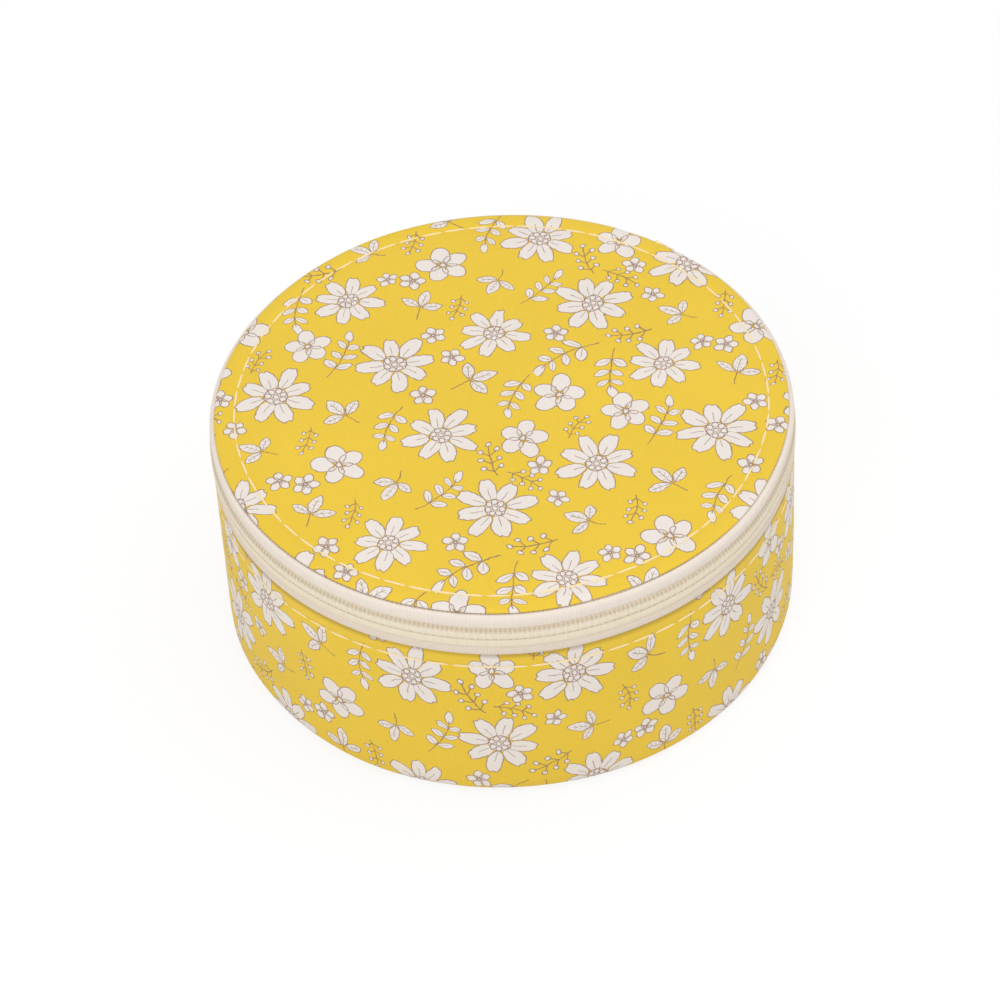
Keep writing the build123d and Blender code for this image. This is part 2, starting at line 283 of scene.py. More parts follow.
def join(tree, value, socket):
    """Wire a number, a socket or a Field into a socket."""
    if isinstance(value, Field):
        value = value.socket
    if isinstance(value, bpy.types.NodeSocket):
        tree.links.new(value, socket)
    else:
        socket.default_value = value


def vector_math(tree, operation, *values, out=0):
    """One Vector Math node."""
    node = tree.nodes.new("ShaderNodeVectorMath")
    node.operation = operation
    for place, value in enumerate(values):
        join(tree, value, node.inputs[place])
    return node.outputs[out]


def parts_of(tree, vector):
    """The three numbers of a vector, as Fields."""
    node = tree.nodes.new("ShaderNodeSeparateXYZ")
    join(tree, vector, node.inputs[0])
    return [Field(tree, s) for s in node.outputs]


def span(x, y):
    """How far (x, y) is from the origin."""
    flat = x.tree.nodes.new("ShaderNodeCombineXYZ")
    join(x.tree, x, flat.inputs[0])
    join(x.tree, y, flat.inputs[1])
    return Field(x.tree, vector_math(x.tree, "LENGTH", flat.outputs[0], out=1))


def tilted(x, y, degrees):
    """The same place in axes turned by so many degrees."""
    c, s = math.cos(math.radians(degrees)), math.sin(math.radians(degrees))
    return x * c + y * s, y * c - x * s


def smaller(*fields):
    """The smallest of several numbers at each point."""
    return reduce(lambda least, other: least.math("MINIMUM", other), fields)


def larger(*fields):
    """The largest of several numbers at each point."""
    return reduce(lambda most, other: most.math("MAXIMUM", other), fields)


print("arithmetic ready")


# %% Colour mixing, noise and node groups
def mix_colour(tree, amount, below, above, blend="MIX"):
    """One colour laid over another, or multiplied with it."""
    node = tree.nodes.new("ShaderNodeMix")
    node.data_type = "RGBA"
    node.blend_type = blend
    join(tree, amount, node.inputs[0])
    join(tree, below, node.inputs[6])
    join(tree, above, node.inputs[7])
    return node.outputs[2]


def noise_node(tree, place, scale, detail, roughness=0.5):
    """Cloudy noise as a node: its first output is a number, its second three of them."""
    node = tree.nodes.new("ShaderNodeTexNoise")
    join(tree, place, node.inputs["Vector"])
    for name, value in (("Scale", scale), ("Detail", detail), ("Roughness", roughness)):
        node.inputs[name].default_value = value
    return node.outputs


def noise_field(tree, *how, **more):
    """Cloudy noise as a Field, between 0 and 1."""
    return Field(tree, noise_node(tree, *how, **more)[0])


def new_group(name, inputs, outputs):
    """An empty shader node group with named sockets, and its tree, inputs and output node."""
    tree = bpy.data.node_groups.new(name, "ShaderNodeTree")
    kinds = {"value": "NodeSocketFloat", "vector": "NodeSocketVector", "colour": "NodeSocketColor"}
    for label, kind, default in inputs:
        socket = tree.interface.new_socket(name=label, in_out="INPUT", socket_type=kinds[kind])
        if default is not None:
            socket.default_value = default
    for label, kind in outputs:
        tree.interface.new_socket(name=label, in_out="OUTPUT", socket_type=kinds[kind])
    source = tree.nodes.new("NodeGroupInput")
    sink = tree.nodes.new("NodeGroupOutput")
    return tree, source.outputs, sink.inputs


def use_group(tree, group, **values):
    """Place a group in a tree. Underscores in the names stand for spaces."""
    node = tree.nodes.new("ShaderNodeGroup")
    node.node_tree = group
    for name, value in values.items():
        join(tree, value, node.inputs[name.replace("_", " ")])
    return node.outputs


print("formula tools ready")

# %% [markdown]
# ## A flower print of our own
# The cloth has a small all-over print: off-white blossoms, leaf sprays and twigs with thin
# brown outlines, on yellow. A picture could be wrapped on, but a formula stays sharp at any
# size. Each motif here is a distance formula, negative inside the shape, built from ovals
# folded round a centre. Inside becomes off-white, and near the edge becomes ink.


# %% Blossoms as distances
def oval(x, y, long, wide):
    """Roughly how far a point is outside an oval, in the units of x and y."""
    near = span(x / long, y / wide)
    steep = span(x / long**2, y / wide**2)
    return near * (near - 1.0) / steep.math("MAXIMUM", 1e-3)


def pointed_leaf(x, y, long, wide):
    """How far a point is outside a leaf with two pointed ends."""
    bow = (long**2 + wide**2) / (2 * wide)
    return span(x, abs(y) + (bow - wide)) - bow


def fold_round(x, y, count, sway=0.0):
    """Fold the plane so that one petal stands for all. Gives the folded point and its number."""
    angle = y.math("ARCTAN2", x) * (count / TURN) + (0.5 + sway)
    number = angle.math("FLOOR")
    folded = (angle - number - 0.5) * (TURN / count)
    far = span(x, y)
    return far * folded.math("COSINE"), far * folded.math("SINE"), number, far


def daisy(x, y, radius, petals):
    """A blossom with notched petals round a bead centre. Gives its edge and its drawn lines."""
    px, py, number, far = fold_round(x, y, petals)
    reach = (number * 2.4).math("SINE") * (0.07 * radius)
    petal = oval(px - reach - 0.6 * radius, py, 0.38 * radius, 0.2 * radius)
    notch = span(px - reach - 1.02 * radius, py - reach * 0.5) - 0.1 * radius
    petal = larger(petal, notch * -1.0)
    heart = far - 0.27 * radius
    bx, by, _, _ = fold_round(x, y, 7, 0.25)
    beads = abs(span(bx - (0.185 * radius), by) - 0.075 * radius)
    middle = abs(far - 0.07 * radius)
    vein = larger(abs(py), abs(px - (0.46 * radius)) - 0.14 * radius)
    rim = larger(abs(petal), heart * -1.0)
    lines = smaller(rim, abs(heart), beads, middle, vein + 0.03)
    return smaller(petal, heart), lines


def dog_rose(x, y, radius):
    """A blossom of five broad rounded petals with a small star in it."""
    px, py, number, far = fold_round(x, y, 5)
    reach = (number * 1.9).math("SINE") * (0.06 * radius)
    petal = oval(px - reach - 0.56 * radius, py, 0.42 * radius, 0.34 * radius)
    ix, iy, _, _ = fold_round(x, y, 5, 0.5)
    star = oval(ix - (0.3 * radius), iy, 0.2 * radius, 0.085 * radius)
    eye = far - 0.13 * radius
    lines = smaller(abs(petal), abs(star), abs(eye))
    return smaller(petal, eye), lines


print("motifs: daisy, dog rose and, made small, a little blossom")


# %% Leaves and twigs as distances
def along_stem(x, pairs, pitch, start):
    """Which pair of a stem a point is nearest to, and how far past the place where it sprouts."""
    step = (x + pairs * pitch / 2) / pitch
    number = step.math("FLOOR").math("MAXIMUM", 0.0).math("MINIMUM", pairs - 1.0)
    return number, (step - number - start) * pitch


def spray(x, y, pairs, pitch, leaf_long, leaf_wide):
    """A bent stem with leaves in pairs and one at its tip. Gives its edge and its lines."""
    half = pairs * pitch / 2
    v = y - x * x * 0.022
    number, u = along_stem(x, pairs, pitch, 0.2)
    lx, ly = tilted(u, abs(v) - 0.15, 58)
    size = number * -0.1 + 1.0
    leaf = pointed_leaf(lx / size - leaf_long, ly / size, leaf_long, leaf_wide)
    tip = pointed_leaf(x - (half + leaf_long * 0.55), v, leaf_long, leaf_wide)
    leaf_vein = larger(abs(ly), abs(lx - leaf_long * 0.8) - leaf_long * 0.5)
    stem = larger(abs(v), abs(x + pitch * 0.4) - (half + pitch * 0.4))
    edge = smaller(leaf, tip)
    lines = smaller(abs(edge), leaf_vein + 0.04, stem - 0.02)
    return edge, lines


def leaf_trio(x, y, long, wide):
    """Three broad veined leaves that fan out from a short stalk."""
    drawn = []
    for lx, ly, size in ((x, y, 1.0), (*tilted(x, abs(y), 68), 0.82)):
        lx = lx - long * size - 0.5
        leaf = pointed_leaf(lx, ly, long * size, wide * size)
        slant = ((lx + abs(ly) * -0.9) / 1.25).math("FRACT") - 0.5
        rib = larger(abs(slant) * 0.85, abs(ly) - wide * 0.5, abs(lx) - long * 0.55)
        mid = larger(abs(ly), abs(lx + long * 0.2) - long * 0.7)
        drawn.append((leaf, smaller(abs(leaf), mid + 0.02, rib + 0.06)))
    stalk = larger(abs(y + x * x * 0.04), abs(x + 1.6) - 2.2)
    edge = smaller(drawn[0][0], drawn[1][0])
    return edge, smaller(drawn[0][1], drawn[1][1], stalk - 0.03)


def twig(x, y, pairs, pitch, stalk, bud):
    """A thin forked twig with a round bud at the end of each stalk."""
    half = pairs * pitch / 2
    v = y + x * x * 0.03
    _, u = along_stem(x, pairs, pitch, 0.15)
    lx, ly = tilted(u, abs(v), 52)
    berry = smaller(span(lx - stalk, ly), span(x - (half + stalk * 0.5), v)) - bud
    stem = larger(abs(v), abs(x) - (half + stalk * 0.3))
    fork = larger(abs(ly), abs(lx - stalk * 0.4) - stalk * 0.4)
    lines = smaller(abs(berry), stem - 0.03, fork - 0.02)
    return berry, lines


print("motifs: leaf trio, spray, twig")

# %% [markdown]
# ## Laying out the repeat
# Printed cloth repeats: one block of motifs is stamped side by side. The layout is a small
# packing puzzle, solved the way a designer scatters cut-outs. Big blossoms go down first,
# each at the roomiest of many tries, then smaller motifs fill what is left. The seed keeps
# the result the same on every run.

# %% Scatter the motifs over one repeat
REPEAT = (69.0, 63.0)


def wrapped(a, b, size):
    """The shortest way from b to a when the cloth repeats."""
    gap = a - b
    return gap - size * round(gap / size)


def footprint(kind, x, y, angle):
    """The discs that a motif covers, as (x, y, radius)."""
    reach, radius = MOTIFS[kind][1:3]
    if not reach:
        return [(x, y, radius)]
    along = (reach * math.cos(angle), reach * math.sin(angle))
    return [(x + k * along[0], y + k * along[1], radius) for k in (-1, 0, 1)]


def room(discs, taken):
    """The smallest gap between a motif's discs and those already laid."""
    return min(
        (
            math.hypot(wrapped(x, p, REPEAT[0]), wrapped(y, q, REPEAT[1])) - r - s
            for x, y, r in discs
            for p, q, s in taken
        ),
        default=99.0,
    )


MOTIFS = {
    "daisy": (6, 0.0, 8.0),
    "rose": (4, 0.0, 5.4),
    "trio": (5, 1.6, 4.8),
    "spray": (6, 4.8, 3.2),
    "twig": (6, 3.8, 2.4),
    "small": (8, 0.0, 2.8),
}
dice = random.Random(11)
taken = []
layout = {}
for kind, (count, _, _) in MOTIFS.items():
    layout[kind] = []
    for _ in range(count):
        tries = []
        for _ in range(260):
            spot = (dice.uniform(0, REPEAT[0]), dice.uniform(0, REPEAT[1]), dice.uniform(0, TURN))
            tries.append((room(footprint(kind, *spot), taken), spot))
        best = max(tries)
        layout[kind].append(best[1])
        taken += footprint(kind, *best[1])
    print(kind, count, "tightest gap", round(best[0], 2), "mm")


# %% [markdown]
# ## The print as a node group
# For each kind of motif the nodes find the nearest one laid out in the repeat, turn the
# cloth into that motif's own axes, and ask its formula for the distance. The kinds are then
# inked one over another, twigs lowest and blossoms on top, as a printer's screens would be.


# %% Find the nearest motif, and ink the cloth
def nearest(tree, place, spots):
    """The place of each point of the cloth in the axes of the nearest motif of a kind."""
    best, best_far = None, None
    for x, y, angle in spots:
        gap = vector_math(tree, "SUBTRACT", place, (x, y, -angle * MM))
        limit = (REPEAT[0] / 2, REPEAT[1] / 2, 1.0)
        gap = vector_math(tree, "WRAP", gap, limit, tuple(-c for c in limit))
        far = Field(tree, vector_math(tree, "LENGTH", gap, out=1))
        if best is None:
            best, best_far = gap, far
            continue
        closer = far.math("LESS_THAN", best_far)
        mix = tree.nodes.new("ShaderNodeMix")
        mix.data_type = "VECTOR"
        join(tree, closer, mix.inputs[0])
        join(tree, best, mix.inputs[4])
        join(tree, gap, mix.inputs[5])
        best, best_far = mix.outputs[1], smaller(best_far, far)
    x, y, angle = parts_of(tree, best)
    angle = angle / MM
    c, s = angle.math("COSINE"), angle.math("SINE")
    size = (angle * 3.7).math("SINE") * 0.12 + 0.97
    return (x * c + y * s) / size, (y * c - x * s) / size


def flower_print():
    """The printed cloth as a node group that puts out its colour."""
    tree, given, result = new_group(
        "flower print",
        [
            ("Place", "vector", None),
            ("Ground", "colour", YELLOW),
            ("Petal", "colour", PETAL),
            ("Ink", "colour", INK),
        ],
        [("Colour", "colour")],
    )
    place = given["Place"]
    for grain, detail, push in ((0.16, 1.0, 1.6), (1.3, 0.0, 0.3)):
        wander = noise_node(tree, given["Place"], grain, detail)[1]
        place = vector_math(tree, "MULTIPLY_ADD", wander, (push, push, 0), place)
    flat = vector_math(tree, "MULTIPLY", place, (1, 1, 0))
    drawn = [
        twig(*nearest(tree, flat, layout["twig"]), 3, 2.3, 2.1, 0.52),
        spray(*nearest(tree, flat, layout["spray"]), 3, 3.4, 1.95, 1.0),
        leaf_trio(*nearest(tree, flat, layout["trio"]), 2.9, 1.45),
        dog_rose(*nearest(tree, flat, layout["small"]), 2.6),
        dog_rose(*nearest(tree, flat, layout["rose"]), 5.3),
        daisy(*nearest(tree, flat, layout["daisy"]), 7.9, 8),
    ]
    colour = given["Ground"]
    for edge, lines in drawn:
        inside = (edge * -8.0 + 0.5).clamped()
        stroke = (lines * -12.0 + 1.7).clamped()
        colour = mix_colour(tree, inside, colour, given["Petal"])
        colour = mix_colour(tree, stroke * 0.85, colour, given["Ink"])
    join(tree, colour, result["Colour"])
    return tree


FLOWER_PRINT = flower_print()
print("print group nodes:", len(FLOWER_PRINT.nodes))

# %% [markdown]
# ## Threads
# Plain cotton is threads crossing over and under. At this size a thread is about a fifth of
# a millimetre, so it is too fine to model, but without it cloth looks like plastic. The
# weave group draws the crossings as a height, ready for a Bump node, and as a faint shade.


# %% A weave as a node group
def weave():
    """Crossing threads: their height, and a shade between 0 and 1."""
    tree, given, result = new_group(
        "weave",
        [("Place", "vector", None), ("Threads per mm", "value", 4.0), ("Slub", "value", 0.3)],
        [("Height", "value"), ("Shade", "value")],
    )
    sway = noise_node(tree, given["Place"], 0.7, 2.0)[1]
    place = vector_math(tree, "MULTIPLY_ADD", sway, (0.12, 0.12, 0), given["Place"])
    x, y, _ = parts_of(tree, place)
    count = Field(tree, given["Threads per mm"])
    across = (x * count * math.pi).math("SINE")
    down = (y * count * math.pi).math("SINE")
    over = (across * down).math("ABSOLUTE")
    twist = (x * count * math.pi * 0.5).math("SINE") * (y * count * math.pi * 0.5).math("SINE")
    uneven = []
    for stretch in ((0.35, 5.0, 1.0), (5.0, 0.35, 1.0)):
        stretched = vector_math(tree, "MULTIPLY", place, stretch)
        uneven.append(noise_field(tree, stretched, 1.0, 1.0))
    slub = (uneven[0] + uneven[1] - 1.0) * Field(tree, given["Slub"])
    join(tree, over * 0.6 + twist * 0.2 + slub, result["Height"])
    join(tree, (over * 0.4 + slub * 1.2 + 0.4).clamped(), result["Shade"])
    return tree


WEAVE = weave()
print("weave group nodes:", len(WEAVE.nodes))

# %% [markdown]
# ## From formula to finish
# A material takes the groups, a place on the surface in millimetres, and one Principled
# shader. Numbers that are the same all over, such as sheen, are typed straight into the
# shader. Only what varies is wired: colour, roughness and the bump.


# %% Helpers for materials
# Painted shadow of the zip tape on the side cloth: how far down it reaches, and how dark it is.
TAPE_SHADOW_REACH = 1.3
TAPE_SHADOW_DARK = 0.55


def new_material(name):
    """A material with its Principled shader."""
    material = bpy.data.materials.new(name)
    material.use_nodes = True
    tree = material.node_tree
    shader = next(n for n in tree.nodes if n.type == "BSDF_PRINCIPLED")
    return material, tree, shader


def all_over(shader, **values):
    """Type numbers that are the same all over straight into the shader."""
    for name, value in values.items():
        shader.inputs[name.replace("_", " ")].default_value = value


def place_in_mm(tree, strip=False):
    """The place of a point in millimetres, on the object or on the map laid along it."""
    if strip:
        node = tree.nodes.new("ShaderNodeUVMap")
        node.uv_map = "cloth"
        source = node.outputs[0]
    else:
        source = tree.nodes.new("ShaderNodeTexCoord").outputs["Object"]
    mapping = tree.nodes.new("ShaderNodeMapping")
    join(tree, source, mapping.inputs["Vector"])
    mapping.inputs["Scale"].default_value = (1000, 1000, 1000)
    return mapping.outputs[0]


def bump(tree, height, depth_mm, shader):
    """Feed a height, given in a range of about 1, to the shader as a bump of a real depth."""
    node = tree.nodes.new("ShaderNodeBump")
    node.inputs["Distance"].default_value = depth_mm * MM
    node.inputs["Strength"].default_value = 1.0
    join(tree, height, node.inputs["Height"])
    join(tree, node.outputs[0], shader.inputs["Normal"])


def printed_cotton(name, strip, turn=0.0, shift=(0.0, 0.0), hem=None):
    """The printed cloth, laid flat or in a strip, with its own turn and shift of the print.

    A hem is the height on the strip where the cloth goes in under the tape; round it the colour is
    painted darker towards brown, as painted shadow of the tape.
    """
    material, tree, shader = new_material(name)
    place = place_in_mm(tree, strip)
    laid = tree.nodes.new("ShaderNodeMapping")
    join(tree, place, laid.inputs["Vector"])
    laid.inputs["Rotation"].default_value = (0, 0, math.radians(turn))
    laid.inputs["Location"].default_value = (shift[0], shift[1], 0)
    inked = use_group(tree, FLOWER_PRINT, Place=laid.outputs[0])
    threads = use_group(tree, WEAVE, Place=place, Threads_per_mm=3.2, Slub=0.35)
    shade = Field(tree, threads["Shade"]) * 0.16 + 0.9
    shade = shade * (noise_field(tree, place, 0.05, 2.0) * 0.08 + 0.96)
    colour = inked["Colour"]
    # Painted shadow: near the height where the cloth goes in under the tape, its colour is mixed towards
    # brown.
    if hem:
        _, height, _ = parts_of(tree, place)
        near = (abs(height - hem) / -TAPE_SHADOW_REACH + 1.0).math("MAXIMUM", 0.0)
        colour = mix_colour(tree, near * TAPE_SHADOW_DARK, colour, TAPE_SHADOW_BROWN)
    join(tree, mix_colour(tree, 1.0, colour, shade, "MULTIPLY"), shader.inputs["Base Color"])
    join(tree, Field(tree, threads["Shade"]) * 0.15 + 0.72, shader.inputs["Roughness"])
    all_over(shader, Specular_IOR_Level=0.25, Sheen_Weight=0.12, Sheen_Roughness=0.5)
    bump(tree, threads["Height"], 0.035, shader)
    return material


LID_COTTON = printed_cotton("printed cotton, lid", False, turn=21.0, shift=(7.0, 12.0))
# The side cloth gets a painted shadow just below the tape, round the hem's height.
SIDE_COTTON = printed_cotton("printed cotton, side", True, shift=(20.0, 30.0), hem=39.95)
BASE_COTTON = printed_cotton("printed cotton, underside", False, turn=-34.0, shift=(31.0, 5.0))
print("cotton for the lid, side and underside")


# %% Cream cloths, card, nylon, metal and glass
SEAM_STITCH = 0.95


def plain_cloth(name, colour, strip, threads_per_mm, depth, nap=0.0, ribs=0.0, shaded_seams=()):
    """Woven or brushed cloth of one colour. Ribs run up the cloth, nap is a soft pile.

    A seam is a height on the strip where sewing draws the cloth in, with half its width and
    how dark it is. There the bump is pressed in, and the colour is painted darker towards brown, dotted
    at the stitch pitch, as painted shade in the groove.
    """
    material, tree, shader = new_material(name)
    place = place_in_mm(tree, strip)
    threads = use_group(tree, WEAVE, Place=place, Threads_per_mm=threads_per_mm, Slub=0.4)
    height = Field(tree, threads["Height"])
    shade = Field(tree, threads["Shade"]) * 0.2 + 0.86
    x, y, _ = parts_of(tree, place)
    if ribs:
        rib = (x * (TURN / ribs)).math("SINE")
        height = height + rib * 0.3
        shade = shade * (rib * 0.01 + 0.99)
    if nap:
        height = height * 0.4 + noise_field(tree, place, 6.0, 4.0) * nap
        shade = shade * (noise_field(tree, place, 0.08, 3.0) * 0.14 + 0.93)
    # Painted shade in each sewn groove, dotted at the stitch pitch; the same mask also presses the bump
    # in.
    for level, half, strength in shaded_seams:
        near = (abs(y - level) * (-1.0 / half) + 1.0).math("MAXIMUM", 0.0)
        dent = (x * (TURN / SEAM_STITCH)).math("SINE") * 0.25 + 0.75
        seam_shade = near * dent * strength
        colour = mix_colour(tree, seam_shade, colour, SEAM_SHADE_BROWN)
        height = height - seam_shade * 2.0
    join(tree, mix_colour(tree, 1.0, colour, shade, "MULTIPLY"), shader.inputs["Base Color"])
    join(tree, shade * -0.3 + 1.1, shader.inputs["Roughness"])
    all_over(shader, Specular_IOR_Level=0.2, Sheen_Weight=0.3 if nap else 0.1, Sheen_Roughness=0.4)
    bump(tree, height, depth, shader)
    return material


def speckled(name, colour, other, grain, depth, rough, metallic=0.0, specular=0.4):
    """A hard or matted finish whose colour and height follow one fine grain."""
    material, tree, shader = new_material(name)
    place = place_in_mm(tree)
    fine = noise_field(tree, place, grain, 4.0, roughness=0.6)
    broad = noise_field(tree, place, grain * 0.08, 2.0)
    join(tree, mix_colour(tree, fine * 0.6 + broad * 0.4, colour, other), shader.inputs["Base Color"])
    join(tree, fine * rough[1] + rough[0], shader.inputs["Roughness"])
    all_over(shader, Metallic=metallic, Specular_IOR_Level=specular)
    bump(tree, fine, depth, shader)
    return material


# The upper tape gets painted shade at its top, where it goes in under the overhanging edge of the lid's
# cloth.
TAPE_CLOTH = plain_cloth(
    "zip tape, upper", TAPE_CREAM, True, 2.4, 0.05, ribs=0.75, shaded_seams=[(52.75, 0.35, 0.7)],
)
# The lower tape is a darker copy of the upper tape's cloth: painted shade.
SHADED_LOWER_TAPE_CLOTH = plain_cloth("zip tape, lower", SHADED_TAPE_CREAM, True, 2.4, 0.05, ribs=0.75)
HINGE_CLOTH = plain_cloth("hinge tape, woven", TAPE_CREAM, True, 2.4, 0.05, ribs=0.75)
# The covers of the chain get painted shade in the grooves above, between and below the two rows.
COIL_COVER = plain_cloth(
    "coil sewing", COIL_CREAM, True, 3.0, 0.05, ribs=0.75,
    shaded_seams=[(47.35, 0.8, 0.6), (45.08, 0.28, 0.6), (42.98, 0.3, 0.4)],
)
LINING_STRIP = plain_cloth("brushed lining, strip", LINING_CREAM, True, 2.6, 0.06, nap=0.8)
LINING_FLAT = plain_cloth("brushed lining, flat", LINING_CREAM, False, 2.6, 0.06, nap=0.8)
NYLON = speckled("coil nylon", COIL_CREAM, light(241, 230, 210), 1.5, 0.01, (0.38, 0.2))
THREAD = speckled("stitching thread", STITCH, light(252, 236, 196), 4.0, 0.03, (0.6, 0.2))
COIL_THREAD = speckled("coil thread", light(238, 228, 210), light(246, 238, 224), 4.0, 0.02, (0.6, 0.2))
CARD = speckled("grey card", light(178, 170, 158), light(150, 142, 130), 2.0, 0.03, (0.8, 0.15))
WADDING = speckled("white wadding", light(238, 236, 230), light(222, 219, 211), 1.2, 0.2, (0.85, 0.1))
BRASS = speckled(
    "pale gold plate", GOLD, light(226, 200, 150), 1.2, 0.003, (0.2, 0.12), metallic=1.0, specular=0.5,
)
GLASS = speckled(
    "mirror glass", light(228, 232, 232), light(220, 226, 226), 0.05, 0.0, (0.02, 0.01), metallic=1.0,
)
print("materials:", len(bpy.data.materials))

# %% [markdown]
# ## Boards and the mirror
# The stiff parts are already right in the CAD model, so they keep its shapes and only get
# their finishes. A CAD mesh is never changed: its material slot is all that is touched.


# %% Finish the stiff parts
def finish_node(name, material):
    """Give a CAD node its finish."""
    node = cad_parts[name]
    if not node.material_slots:
        node.data.materials.append(material)
    for slot in node.material_slots:
        slot.material = material


for name in ("base_board", "wall_board", "lid_board"):
    finish_node(name, CARD)
finish_node("mirror", GLASS)
print("finished: three boards and the mirror")

# %% [markdown]
# ## The lid's cloth
# The cotton is drawn over thin foam and stitched down round the edge, so the top is very
# slightly crowned, dips at the row of stitches and rolls over at the rim. One section turned
# on the lathe gives all of that, and a slow push of the points takes away the machine look.

# %% Make the lid's cloth
turned([
    (0, 52.3), (14, 52.3), (26, 52.26), (36, 52.2), (44, 52.12), (49, 52.04), (52, 51.98),
    (53.4, 51.9), (54.0, 51.76), (54.3, 51.7), (54.6, 51.76), (55.2, 51.88), (56.2, 51.92),
    (57.0, 51.88), (57.7, 51.78), (58.12, 51.62), (58.38, 51.42), (58.4, 51.28), (58.1, 51.22),
    (52.6, 51.24), (52.2, 51.6), (44, 51.66), (26, 51.7), (0, 51.7),
], "lid_cloth", LID_COTTON, "lid", "print_cloth", ["lid_cover"], sway=SWAY)

# %% [markdown]
# ## The side's cloth
# A strip of the same cotton goes round the drum. It is folded to a hem under the tape, has
# its own row of stitches just below, turns round the base, and is lapped at the back. The
# map that was laid along it keeps the print upright and unstretched all the way round.

# %% Make the side's cloth and its lap at the back
turned([
    (52, 0.45), (56, 0.45), (58.5, 0.45), (59.2, 0.62), (59.72, 1.05), (59.98, 1.75), (60.05, 4),
    (60.05, 10), (60.0, 18), (59.9, 26), (59.78, 33), (59.7, 35.6), (59.62, 36.5), (59.46, 36.9),
    (59.42, 37.1), (59.44, 37.3), (59.5, 37.7), (59.5, 38.6), (59.49, 39.7), (59.47, 40.2),
    (59.43, 40.45), (59.36, 40.55), (59.28, 40.45), (59.24, 40.2), (59.24, 34.3), (59.5, 34.0),
    (59.58, 20), (59.6, 2.2), (59.3, 1.4), (58.5, 0.82), (52, 0.8),
], "side_cloth", SIDE_COTTON, "base", "print_cloth", ["side_cover"], sway=SWAY, lean=1)

turned([
    (60.0, 1.9), (60.26, 1.9), (60.33, 10), (60.28, 20), (60.18, 30), (59.96, 36.2), (59.76, 37.1),
    (59.82, 38), (59.8, 40.2), (59.66, 40.5), (59.42, 40.4), (59.44, 37.1), (59.7, 30), (59.85, 15),
], "side_lap", SIDE_COTTON, "base", "print_cloth",
    sway=SWAY, lean=0, start=86.5, arc=7.0, steps=14, ease=0.08)

turned([
    (0, 0.38), (57.2, 0.38), (57.5, 0.3), (57.5, 0.1), (57.2, 0.0), (56, 0.0), (40, 0.0),
    (20, 0.0), (0, 0.0),
], "underside_cloth", BASE_COTTON, "base", "print_cloth", ["bottom_cover"], steps=160)

# %% [markdown]
# ## Rows of stitches
# Each visible stitch is a short soft thread that dives into the cloth at both ends. One is
# made from a small sphere, stretched, and then spun round the box as copies. The count is
# chosen so that a whole number of stitches of about five millimetres fits the circle.


# %% Sew the lid and the side
LID_STITCH = (54.3, 51.79)
SIDE_STITCH = (59.52, 37.1)
STITCH_PITCH = 5.2
THREAD_THICK = 0.2


def sew_row(name, body, radius, height, flat):
    """A closed circle of stitches. flat gives how the thread is pressed, along x and up."""
    bm = bmesh.new()
    bmesh.ops.create_uvsphere(bm, u_segments=8, v_segments=6, radius=1.0)
    rotate(bm, math.pi / 2, "X")
    for vert in bm.verts:
        vert.co.y = math.copysign(abs(vert.co.y) ** 0.7, vert.co.y)
    scale(bm, THREAD_THICK * flat[0], STITCH_PITCH * 0.45, THREAD_THICK * flat[1])
    shift(bm, radius, 0, height)
    count = round(TURN * radius / STITCH_PITCH)
    copies_round(bm, count, TURN / count)
    unsettle(bm)
    hand_over(bm, name, THREAD, body, cusp=40)
    print(name, "has stitches:", count)


sew_row("lid_stitches", "lid", *LID_STITCH, flat=(1.15, 1.0))
sew_row("side_stitches", "base", *SIDE_STITCH, flat=(1.0, 1.15))

# %% [markdown]
# ## The zip's tapes
# Each tape is a woven strip. The upper one comes out from behind the chain, swells over the
# rim like a soft cord and goes in under the lid's cloth. The lower one rises from behind
# the hem, swells over it and is drawn in to the chain. They run from one side of the hinge
# to the other, and a small tab closes the slot between them where the zip ends.

# %% Make the tapes and the hinge
HINGE_HALF = 27.0
END_GAP = math.degrees(0.06 / WALL)
ALONG_ZIP = {"start": 90 + HINGE_HALF + END_GAP, "arc": 360 - 2 * (HINGE_HALF + END_GAP), "steps": 300}

turned([
    (58.8, 46.4), (58.8, 47.4), (58.94, 47.66), (59.1, 47.84), (59.22, 48.08), (59.32, 48.42),
    (59.42, 48.85), (59.47, 49.35), (59.45, 49.9), (59.34, 50.42), (59.05, 50.76), (58.65, 50.92),
    (58.2, 50.94), (57.6, 50.98), (57.2, 51.18), (55.5, 51.2), (52.7, 51.2), (52.7, 50.7),
    (57.0, 50.66), (57.5, 50.5), (58.3, 50.42), (58.8, 50.1), (58.95, 49.6), (58.93, 49.1),
    (58.82, 48.7), (58.66, 48.35), (58.45, 48.0), (58.26, 47.6), (58.25, 46.4),
], "upper_band", TAPE_CLOTH, "lid", "zip_tape", ["upper_tape"], sway=SWAY, lean=-1, **ALONG_ZIP)

turned([
    (59.2, 33.8), (59.2, 37), (59.2, 40.4), (59.46, 40.68), (59.62, 41.0), (59.68, 41.4),
    (59.66, 41.8), (59.56, 42.15), (59.4, 42.5), (59.2, 42.78), (58.95, 43.05), (58.8, 43.5),
    (58.8, 44.0), (58.25, 44.0), (58.25, 43.0), (58.6, 42.5), (58.9, 42.0), (58.96, 41.4),
    (58.66, 40.8), (58.66, 33.8),
], "lower_band", SHADED_LOWER_TAPE_CLOTH, "base", "zip_tape", ["lower_tape"], sway=SWAY, lean=0, **ALONG_ZIP)

turned([
    (58.2, 43.6), (58.84, 43.6), (58.84, 46.3), (58.2, 46.3),
], "tape_end_tab", SHADED_LOWER_TAPE_CLOTH, "base", "zip_tape",
    lean=0, start=61.42, arc=1.5, steps=4, ease=0.12)

# %% [markdown]
# The hinge is a plain strip of the same tape over the 54 degrees at the back that have no
# zip. It has to bend when the lid opens, so its section has many points where it folds.

